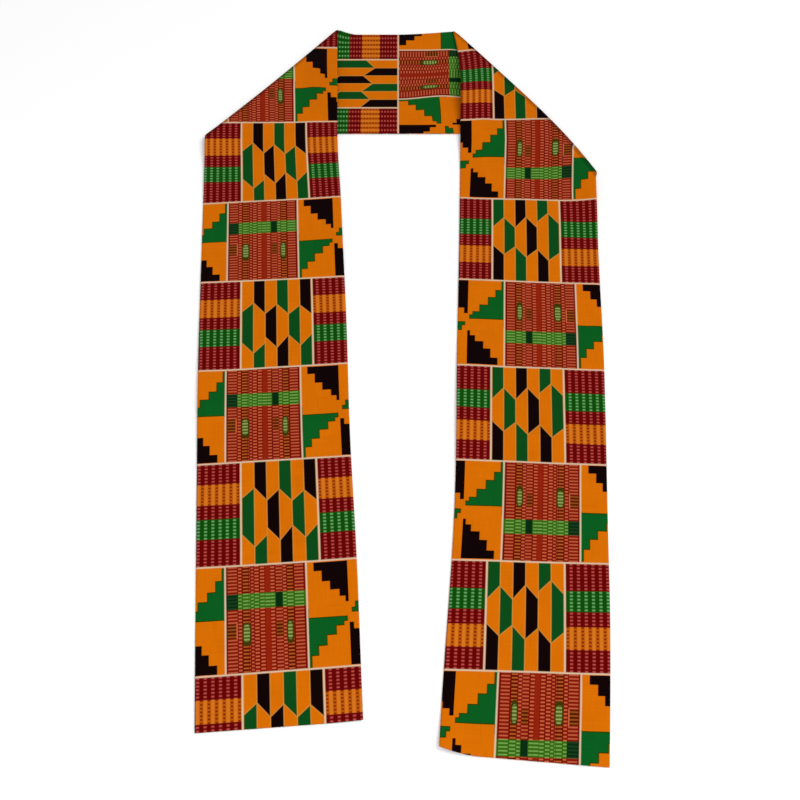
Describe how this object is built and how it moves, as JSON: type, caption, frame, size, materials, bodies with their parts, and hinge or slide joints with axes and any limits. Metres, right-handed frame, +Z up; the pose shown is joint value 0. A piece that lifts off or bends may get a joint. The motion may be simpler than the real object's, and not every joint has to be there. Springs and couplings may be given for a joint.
{
  "type": "kente stole",
  "caption": "Long straight double-cloth stole in a block print, laid flat and turned over at two slanting folds behind the neck.",
  "frame": {"origin": "under the middle of the outline of the laid stole, on the surface that it lies on", "axes": "+X to the right of the stole as seen, +Y from the hems towards the neck band, +Z up out of the surface"},
  "size_m": [0.4044, 0.802, 0.0115],
  "materials": {
    "front_print": "block-printed cotton, orange, dark red, green and black with pale lines between the blocks",
    "back_print": "the same block-printed cotton, seen on the neck band"
  },
  "bodies": {
    "root": {"front_cloth": "front_print", "back_cloth": "back_print"}
  },
  "joints": []
}
